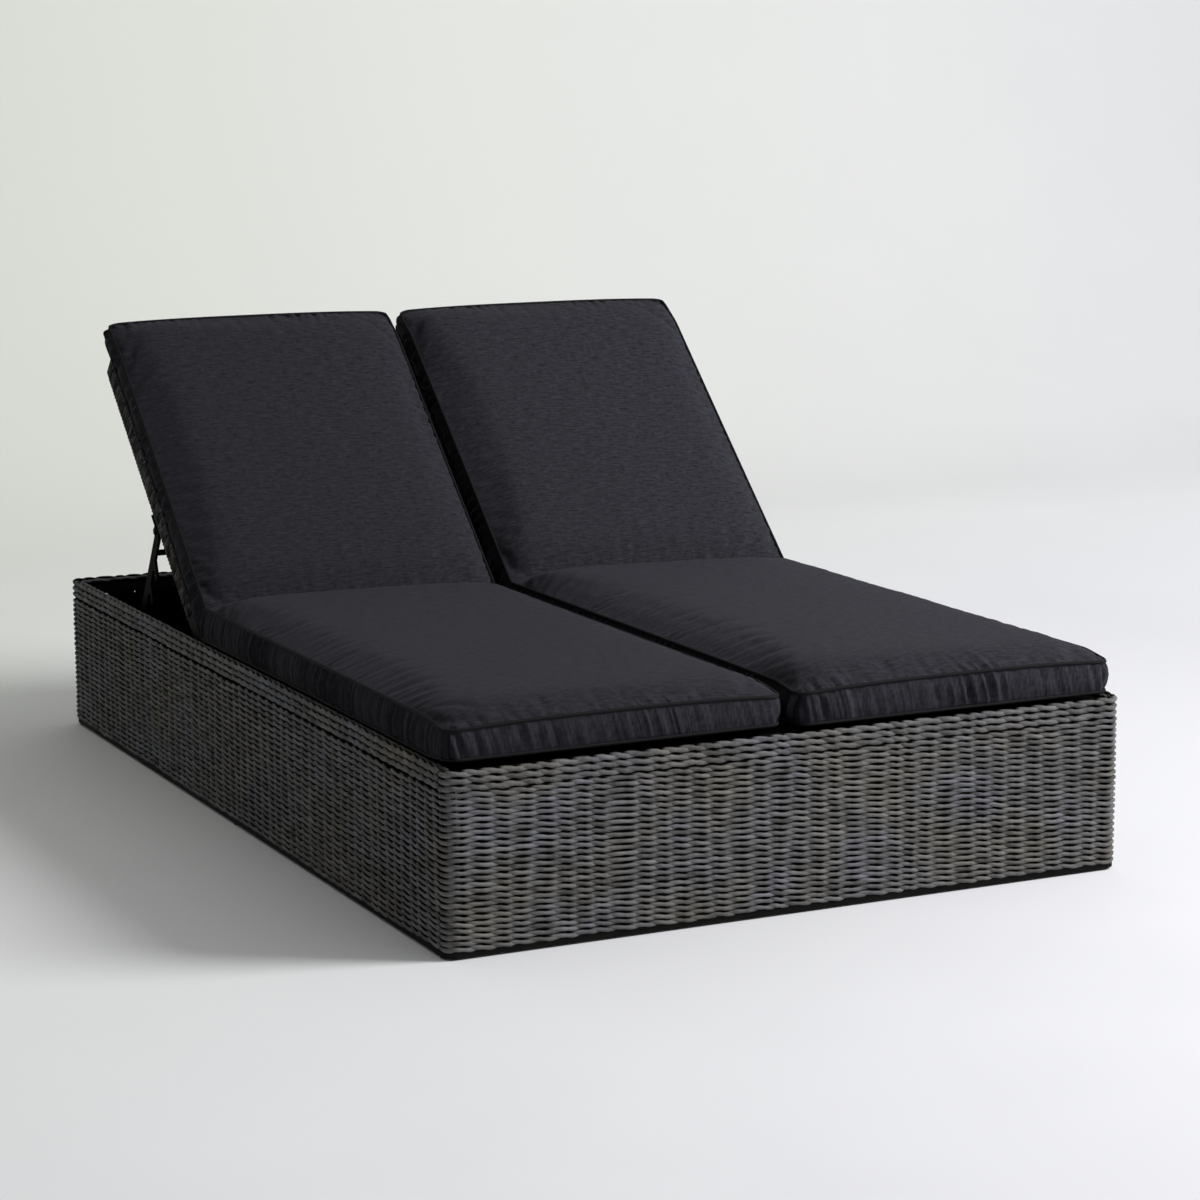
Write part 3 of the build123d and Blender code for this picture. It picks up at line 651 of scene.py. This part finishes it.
def cushion_mesh(name, sign, inner, outer, crown_height, inner_roll, outer_roll, end_lift):
    """The cushion's closed grid, with the flat place of every point kept as attributes."""
    length = seat_run + back_run
    middle, half = (inner + outer) / 2, (outer - inner) / 2
    across = spaced(-half, half, 60, CORNER_ROUND)
    down = spaced(0.0, length, 200, CORNER_ROUND)
    flat_x, flat_run = np.meshgrid(across, down, indexing="ij")
    shape = flat_x.shape
    # Square corners pushed onto quarter circles.
    past_x = np.clip((np.abs(flat_x) - (half - CORNER_ROUND)) / CORNER_ROUND, 0, 1)
    end_gap = np.minimum(flat_run, length - flat_run)
    past_run = np.clip((CORNER_ROUND - end_gap) / CORNER_ROUND, 0, 1)
    up_back = smooth(2 * (flat_run - seat_run) / back_run)
    roundness = CORNER_ROUND * (1 - 0.5 * up_back)
    pull_x = past_x * (1 - np.sqrt(1 - past_run**2 / 2)) * roundness
    pull_run = past_run * (1 - np.sqrt(1 - past_x**2 / 2)) * roundness
    plan_x = flat_x - np.sign(flat_x) * pull_x
    plan_run = flat_run + np.sign(length / 2 - flat_run) * pull_run
    # The sides are drawn in between the corners.
    waist = WAIST * np.sin(np.pi * np.clip(flat_run / length, 0, 1)) ** 0.6
    plan_x = plan_x * (1 - waist / half)
    side_gap = half - np.abs(flat_x)
    fold_gap = np.abs(flat_run - seat_run)
    dome = (1 - (1 - np.clip(side_gap / CROWN_RUN, 0, 1)) ** 2.2) * (
        1 - (1 - np.clip(end_gap / CROWN_RUN, 0, 1)) ** 2.2
    )
    notch = 0.3 + 0.7 * smooth(fold_gap / FOLD_NOTCH_RUN)
    side_roll = np.sin(np.pi / 2 * np.clip(side_gap / ROLL_RUN, 0, 1))
    end_roll = np.sin(np.pi / 2 * np.clip(end_gap / ROLL_RUN, 0, 1))
    outer_share = 0.5 + 0.5 * sign * flat_x / half
    roll_height = inner_roll + (outer_roll - inner_roll) * outer_share
    crown = (crown_height * dome + roll_height * side_roll * end_roll) * notch
    x = sign * middle + plan_x
    # The ends arch up between their corners.
    arch = END_ARCH * (1 - np.abs(flat_x / half) ** 3) * (1 - smooth(end_gap / SWELL_RUN))
    top = cushion_point(x, plan_run, 1.0, crown + arch)
    # The underside curls up to its seam.
    lift = (SEAM_LIFT + BACK_LIFT * up_back + end_lift * (1 - smooth(flat_run / SWELL_RUN))) / EDGE
    curl = lift * (1 - smooth(np.minimum(side_gap, end_gap) / CURL_RUN))
    bottom = cushion_point(x, plan_run, curl, 0.0)
    count_x, count_run = shape
    index_top = np.arange(count_x * count_run).reshape(shape)
    index_bottom = index_top + count_x * count_run
    ring = (
        [(i, 0) for i in range(count_x - 1)]
        + [(count_x - 1, j) for j in range(count_run - 1)]
        + [(i, count_run - 1) for i in range(count_x - 1, 0, -1)]
        + [(0, j) for j in range(count_run - 1, 0, -1)]
    )
    rim = tuple(np.array(ring).T)
    points = [top.reshape(-1, 3), bottom.reshape(-1, 3)]
    flat = [np.stack([flat_x, flat_run], -1).reshape(-1, 2)] * 2
    rises = [np.ones(top.size // 3), np.zeros(top.size // 3)]
    gaps = [np.minimum(side_gap, end_gap).reshape(-1)] * 2
    levels = [index_top[rim]]
    start = 2 * count_x * count_run
    # The boxing stands out a little between its two seams.
    out_x = (flat_x / half)[rim] * (side_gap[rim] < 1e-6)
    out_run = np.where(end_gap[rim] < 1e-6, np.sign(flat_run[rim] - length / 2), 0)
    for layer in range(1, BOXING_LAYERS):
        rise = 1 - layer / BOXING_LAYERS * (1 - lift[rim])
        belly = BOXING_BELLY * math.sin(math.pi * layer / BOXING_LAYERS)
        ring_x = x[rim] + belly * out_x
        ring_run = plan_run[rim] + belly * out_run
        points.append(cushion_point(ring_x, ring_run, rise, arch[rim] * rise))
        flat.append(np.stack([flat_x[rim], flat_run[rim]], -1))
        rises.append(np.full(len(ring), 1 - layer / BOXING_LAYERS))
        gaps.append(np.zeros(len(ring)))
        levels.append(np.arange(start, start + len(ring)))
        start += len(ring)
    levels.append(index_bottom[rim])
    corners = np.stack(
        [index_top[:-1, :-1], index_top[1:, :-1], index_top[1:, 1:], index_top[:-1, 1:]], -1
    ).reshape(-1, 4)
    faces = np.stack([corners, corners[:, ::-1] + count_x * count_run], 1).reshape(-1, 4).tolist()
    for upper, lower in zip(levels, levels[1:]):
        faces += np.stack([np.roll(upper, -1), upper, lower, np.roll(lower, -1)], -1).tolist()
    mesh = bpy.data.meshes.new(name)
    mesh.from_pydata(np.concatenate(points).tolist(), [], faces)
    mesh.polygons.foreach_set("use_smooth", [True] * len(mesh.polygons))
    keep_values(
        mesh, flat_x=np.concatenate(flat)[:, 0], flat_run=np.concatenate(flat)[:, 1],
        rise=np.concatenate(rises), seam_gap=np.concatenate(gaps),
    )
    crease = mesh.attributes.new("crease_edge", "FLOAT", "EDGE")
    seam_edges = set()
    for level in (levels[0], levels[-1]):
        seam_edges |= {frozenset(ends) for ends in zip(level.tolist(), np.roll(level, -1).tolist())}
    crease.data.foreach_set("value", [float(frozenset(e.vertices) in seam_edges) for e in mesh.edges])
    made = bpy.data.objects.new(name, mesh)
    scene.collection.objects.link(made)
    fold_line = index_top[:, np.argsort(np.abs(down - seat_run))[:3]].reshape(-1)
    return made, levels[0], levels[-1], index_bottom.reshape(-1), fold_line


def waves(where, shortest, longest, count, random):
    """A run of uneven waves along a seam, from -1 to 1."""
    total = np.zeros_like(where)
    for _ in range(count):
        wave_length = random.uniform(shortest, longest)
        total += np.sin(2 * np.pi * where / wave_length + random.uniform(0, 2 * np.pi))
    return total / math.sqrt(count)


def swell(thing, held, eased, most):
    """Fills a cushion by cloth simulation; held points stay, and no point moves further than most."""
    start = np.zeros(len(thing.data.vertices) * 3)
    thing.data.vertices.foreach_get("co", start)
    pins = thing.vertex_groups.new(name="held")
    pins.add(eased.tolist(), 0.5, "REPLACE")
    pins.add(held.tolist(), 1.0, "REPLACE")
    cloth = thing.modifiers.new("filling", "CLOTH")
    cloth.settings.quality = 5
    cloth.settings.vertex_group_mass = "held"
    cloth.settings.use_pressure = True
    cloth.settings.uniform_pressure_force = 4.0
    cloth.settings.shrink_min = -0.02
    cloth.settings.bending_stiffness = 0.15
    cloth.settings.effector_weights.gravity = 0.0
    cloth.collision_settings.use_collision = False
    for frame_number in range(1, FILL_FRAMES + 1):
        scene.frame_set(frame_number)
    plain_copy(thing)
    scene.frame_set(1)
    thing.vertex_groups.clear()
    place = np.zeros_like(start)
    thing.data.vertices.foreach_get("co", place)
    moved = (place - start).reshape(-1, 3)
    far = np.maximum(np.linalg.norm(moved, axis=1, keepdims=True), 1e-9)
    moved *= most * np.tanh(far / most) / far
    thing.data.vertices.foreach_set("co", start + moved.ravel())
    thing.data.update()


def gather(thing, half, seed):
    """Puckers the cloth beside its seams, where the piping has drawn it up."""
    random = np.random.default_rng(seed)
    mesh = thing.data
    flat_x, flat_run, rise, seam_gap = kept_values(mesh, "flat_x", "flat_run", "rise", "seam_gap")
    place = np.zeros((len(mesh.vertices), 3))
    mesh.vertices.foreach_get("co", place.ravel())
    normals = np.zeros_like(place)
    mesh.vertex_normals.foreach_get("vector", normals.ravel())
    length = seat_run + back_run
    side_gap = half - np.abs(flat_x)
    end_gap = np.minimum(flat_run, length - flat_run)
    at_side = side_gap < end_gap
    # The four seams lie far apart on one line, so that their waves differ.
    seam_run = np.where(at_side, flat_run + np.sign(flat_x) * 3.1, flat_x + 9.7)
    seam_run = np.where((~at_side) & (flat_run > length / 2), seam_run + 5.3, seam_run)
    on_top = rise > 0.999
    boxing = (rise > 0.001) & ~on_top
    from_top = np.where(on_top, seam_gap, (1 - rise) * EDGE)
    slanted = seam_run + np.where(on_top, 0.3, -0.2) * from_top
    fine = waves(slanted, 18 * MM, 38 * MM, 7, random)
    broad = waves(seam_run, 40 * MM, 120 * MM, 5, random)
    strength = np.clip(0.55 + 0.5 * waves(seam_run, 150 * MM, 420 * MM, 3, random), 0.1, 1.3)
    top_fade = np.exp(-from_top / (17 * MM)) * smooth(from_top / (5 * MM))
    push = np.where(on_top, np.where(at_side, 1.8, 3.4) * MM * fine * strength * top_fade, 0)
    between = np.sin(np.pi * np.clip(rise, 0, 1)) ** 0.5
    push += np.where(boxing, (3.6 * MM * fine + 1.6 * MM * broad) * strength * between, 0)
    place += normals * push[:, None]
    mesh.vertices.foreach_set("co", place.ravel())
    mesh.update()
    # The finest puckers are left to the cloth's own surface.
    tight = np.where(on_top, np.exp(-from_top / (12 * MM)), np.where(boxing, 0.35 + 0.65 * between, 0))
    past_fold = flat_run - seat_run
    creased = np.where(past_fold > 0, np.exp(-past_fold / (24 * MM)), np.exp(past_fold / (7 * MM)))
    creased *= np.where(on_top, 1 - np.exp(-side_gap / (25 * MM)), 0)
    tight *= np.clip(strength, 0.3, 1) * np.where(at_side & on_top, 0.4, 1)
    keep_values(mesh, along_seam=slanted, pucker=tight, crease=creased)


piping_tree = bpy.data.node_groups.new("piping_cord", "GeometryNodeTree")
given = sockets_of(piping_tree, Step="Float", Cord_radius="Float", Cloth="Material")
path = put(piping_tree, "GeometryNodeMeshToCurve", {"Mesh": given["Geometry"]})
fine_path = put(
    piping_tree, "GeometryNodeResampleCurve", {"Curve": path, "Length": given["Step"]}, mode="LENGTH"
)
cord_round = put(
    piping_tree, "GeometryNodeCurvePrimitiveCircle", {"Resolution": 8, "Radius": given["Cord radius"]}
)
cord = put(piping_tree, "GeometryNodeCurveToMesh", {"Curve": fine_path, "Profile Curve": cord_round})
real = put(piping_tree, "GeometryNodeRealizeInstances", {"Geometry": cord})
finished = put(piping_tree, "GeometryNodeSetMaterial", {"Geometry": real, "Material": given["Cloth"]})
put(piping_tree, "NodeGroupOutput", {0: finished})

# Woven olefin, dyed black with a navy cast: matt, with a soft bloom at low
# angles, slubs across it and a plain weave drawn at 1.6 mm so that it shows.
olefin, tree, shader = finish_named(
    "woven_olefin_cloth", 0.9, Sheen_Weight=0.04, Sheen_Roughness=0.5, Specular_IOR_Level=0.08,
    Sheen_Tint=linear("#c8cade"),
)
place = put(tree, "TexCoord").outputs["UV"]
stretched = put(tree, "Mapping", {"Vector": place, "Scale": (40.0, 330.0, 1.0)})
slubs = put(tree, "TexNoise", {"Vector": stretched, "Scale": 1.0, "Detail": 3.0})
mottle = put(tree, "TexNoise", {"Vector": place, "Scale": 100.0, "Detail": 7.0, "Roughness": 0.75})
threads = put(tree, "Math", {0: slubs, 1: mottle}, operation="ADD")
thread_tone = put(tree, "MapRange", {"Value": threads, "From Min": 0.73, "From Max": 1.27})
# Painted light: the right cushion is made lighter than the left, as the lamp's
# light falls off from right to left.
parts = put(tree, "SeparateXYZ", {0: put(tree, "TexCoord").outputs["Object"]})
lamp_falloff_light = put(tree, "MapRange", {"Value": parts.outputs["X"], "From Min": -0.6, "From Max": 0.6})
bright_thread = put(
    tree, "Mix", {"Factor": lamp_falloff_light, "A": linear("#2d2d33"), "B": linear("#38383f")}, data_type="RGBA"
)
tone = put(tree, "Mix", {"Factor": thread_tone, "A": linear("#19191d"), "B": bright_thread}, data_type="RGBA")
warp = put(tree, "TexWave", {"Vector": place, "Scale": 200.0})
weft = put(tree, "TexWave", {"Vector": place, "Scale": 200.0}, bands_direction="Y")
cloth_height = put(tree, "Math", {0: warp.outputs["Fac"], 1: weft.outputs["Fac"]}, operation="MULTIPLY")
# Fine puckers along the seams, kept on the mesh as a place and a strength.
along_seam = put(tree, "Attribute", attribute_name="along_seam").outputs["Fac"]
pucker = put(tree, "Attribute", attribute_name="pucker").outputs["Fac"]
folds = put(tree, "TexNoise", {"W": along_seam, "Scale": 62.0, "Detail": 1.5}, noise_dimensions="1D")
seam_folds = put(tree, "Math", {0: folds, 1: pucker}, operation="MULTIPLY")
across = put(tree, "Attribute", attribute_name="flat_x").outputs["Fac"]
crease = put(tree, "Attribute", attribute_name="crease").outputs["Fac"]
creases = put(tree, "TexNoise", {"W": across, "Scale": 38.0, "Detail": 1.5}, noise_dimensions="1D")
fold_height = put(tree, "Math", {0: creases, 1: crease, 2: seam_folds}, operation="MULTIPLY_ADD")
fold_bump = put(tree, "Bump", {"Height": fold_height, "Strength": 1.0, "Distance": 9 * MM})
bump = put(tree, "Bump", {"Height": cloth_height, "Strength": 0.4, "Distance": 0.4 * MM, "Normal": fold_bump})
# Painted shade: faces turned from the lamp, the left side most, are darkened
# towards black, while the top and the foot keep their colour.
facing = put(tree, "TexCoord").outputs["Normal"]
lamp_facing = put(tree, "VectorMath", {0: facing, 1: (0.8, -0.5, 0.4)}, operation="DOT_PRODUCT")
lamp_side_shade = put(
    tree, "MapRange", {"Value": lamp_facing, "From Min": -0.8, "From Max": 0.1, "To Min": 0.45, "To Max": 1.0}
)
side_shaded_cloth = put(tree, "Mix", {"Factor": lamp_side_shade, "A": linear("#040405"), "B": tone}, data_type="RGBA")
feed(shader, {"Base Color": side_shaded_cloth, "Normal": bump})

# The piping is the same cloth cut on the bias over a cord, a darker black.
piping_cloth, tree, shader = finish_named("bias_cut_piping", 0.75, Specular_IOR_Level=0.12)
place = put(tree, "TexCoord").outputs["Object"]
threads = put(tree, "TexNoise", {"Vector": place, "Scale": 500.0})
tone = put(tree, "Mix", {"Factor": threads, "A": linear("#09090b"), "B": linear("#17171a")}, data_type="RGBA")
feed(shader, {"Base Color": tone})

for side, sign, inner, outer, crown_height, inner_roll, outer_roll, end_lift, seed in (
    ("left", -1, 21 * MM, 621 * MM, 3 * MM, 11 * MM, 19 * MM, 8 * MM, 5),
    ("right", 1, 8 * MM, 624 * MM, 5 * MM, 24 * MM, 8 * MM, 2 * MM, 8),
):
    cushion, top_seam, bottom_seam, underside, fold_line = cushion_mesh(
        side + "_cushion", sign, inner, outer, crown_height, inner_roll, outer_roll, end_lift
    )
    vertices = cushion.data.vertices
    seams = [[vertices[v].co.copy() for v in seam.tolist()] for seam in (top_seam, bottom_seam)]
    swell(cushion, np.concatenate([top_seam, bottom_seam, underside]), fold_line, FILL_LIMIT)
    round_up = cushion.modifiers.new("round", "SUBSURF")
    round_up.levels = round_up.render_levels = 1
    plain_copy(cushion)
    gather(cushion, (outer - inner) / 2, seed)
    uv = cushion.data.uv_layers.new(name="cloth")
    mesh = cushion.data
    corner_vertex = np.zeros(len(mesh.loops), np.int32)
    mesh.loops.foreach_get("vertex_index", corner_vertex)
    flat_x, flat_run, rise = (
        values[corner_vertex] for values in kept_values(mesh, "flat_x", "flat_run", "rise")
    )
    rise_of_face = rise.reshape(-1, 4).mean(1).repeat(4)
    on_boxing = (rise_of_face > 0.001) & (rise_of_face < 0.999)
    u = np.where(on_boxing, rise * EDGE, flat_x)
    v = np.where(on_boxing, flat_run + np.abs(flat_x), flat_run)
    uv.data.foreach_set("uv", np.stack([u, v], -1).astype(np.float32).ravel())
    mesh.materials.append(olefin)
    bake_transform(cushion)
    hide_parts(side + "_seat_cushion", side + "_back_cushion")

    for label, seam in zip(("top", "bottom"), seams):
        piping = grow(
            f"{side}_{label}_piping", piping_tree, line_mesh(seam, closed=True),
            Step=6 * MM, Cord_radius=PIPING_RADIUS, Cloth=piping_cloth,
        )
        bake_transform(piping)

# Studio -------------------------------------------------------------------
# A seamless sheet of white paper curving up behind, one large soft lamp from
# the right of the foot end and an even light from all round.
BEND_START, BEND_RADIUS = 3.2, 1.8
PAPER_FRONT, PAPER_TOP, PAPER_HALF_WIDTH = -9.0, 9.0, 14.0
floor_points = [(PAPER_FRONT, 0.0), (BEND_START, 0.0)]
for step_number in range(1, 13):
    turned_by = math.radians(step_number * 7.5)
    y = BEND_START + BEND_RADIUS * math.sin(turned_by)
    floor_points.append((y, BEND_RADIUS - BEND_RADIUS * math.cos(turned_by)))
floor_points.append((BEND_START + BEND_RADIUS, PAPER_TOP))
paper_mesh = bpy.data.meshes.new("paper")
paper_vertices = [(x, y, z) for y, z in floor_points for x in (-PAPER_HALF_WIDTH, PAPER_HALF_WIDTH)]
paper_faces = [(2 * i, 2 * i + 1, 2 * i + 3, 2 * i + 2) for i in range(len(floor_points) - 1)]
paper_mesh.from_pydata(paper_vertices, [], paper_faces)
paper_mesh.polygons.foreach_set("use_smooth", [True] * len(paper_mesh.polygons))
paper = bpy.data.objects.new("paper", paper_mesh)
scene.collection.objects.link(paper)
paper_white, tree, shader = finish_named("studio_paper", 0.9, Specular_IOR_Level=0.1)
place = put(tree, "TexCoord").outputs["Object"]
fibres = put(tree, "TexNoise", {"Vector": place, "Scale": 2.0})
cool = put(tree, "Mix", {"Factor": fibres, "A": linear("#e2e2e7"), "B": linear("#e9e9ee")}, data_type="RGBA")
# It takes a faint green cast towards the back left.
parts = put(tree, "SeparateXYZ", {0: place})
leftwards = put(
    tree, "Math", {0: parts.outputs["X"], 1: -1.0, 2: parts.outputs["Y"]}, operation="MULTIPLY_ADD"
)
far_left = put(tree, "MapRange", {"Value": leftwards, "From Min": -2.0, "From Max": 4.0})
tone = put(tree, "Mix", {"Factor": far_left, "A": cool, "B": linear("#e5e7e1")}, data_type="RGBA")
# Painted shade: on the right, where the lamp is near, the paper is made a little
# darker to even out the lamp's light.
near_lamp = put(tree, "MapRange", {"Value": parts.outputs["X"], "From Min": 0.5, "From Max": 2.0})
before_bend = put(
    tree, "MapRange",
    {"Value": parts.outputs["Y"], "From Min": 0.8, "From Max": 2.6, "To Min": 1.0, "To Max": 0.0},
)
painted_shade_share = put(tree, "Math", {0: near_lamp, 1: before_bend}, operation="MULTIPLY")
tone = put(tree, "Mix", {"Factor": painted_shade_share, "A": tone, "B": linear("#d6d6db")}, data_type="RGBA")
feed(shader, {"Base Color": tone})
paper_mesh.materials.append(paper_white)

key = bpy.data.lights.new("soft_key", "AREA")
key.shape = "DISK"
key.size = 3.1
key.energy = 660.0
key_lamp = bpy.data.objects.new("soft_key", key)
key_aim = Vector((0.0, -0.2, 0.2))
key_lamp.location = key_aim + Vector((0.704, -0.426, 0.574)) * 7.8
key_lamp.rotation_mode = "QUATERNION"
key_lamp.rotation_quaternion = (key_lamp.location - key_aim).to_track_quat("Z", "Y")
scene.collection.objects.link(key_lamp)

world = bpy.data.worlds.new("even_light")
world.use_nodes = True
scene.world = world
sky = world.node_tree.nodes["Background"]
# The light from all round comes mostly from above and from the right.
direction = put(world.node_tree, "TexCoord").outputs["Generated"]
rightwards = put(world.node_tree, "VectorMath", {0: direction, 1: (0.75, 0.0, 0.66)}, operation="DOT_PRODUCT")
strength = put(
    world.node_tree, "MapRange",
    {"Value": rightwards, "From Min": -0.6, "From Max": 0.7, "To Min": 0.05, "To Max": 0.53},
)
feed(sky, {"Color": linear("#f6f6f5"), "Strength": strength})
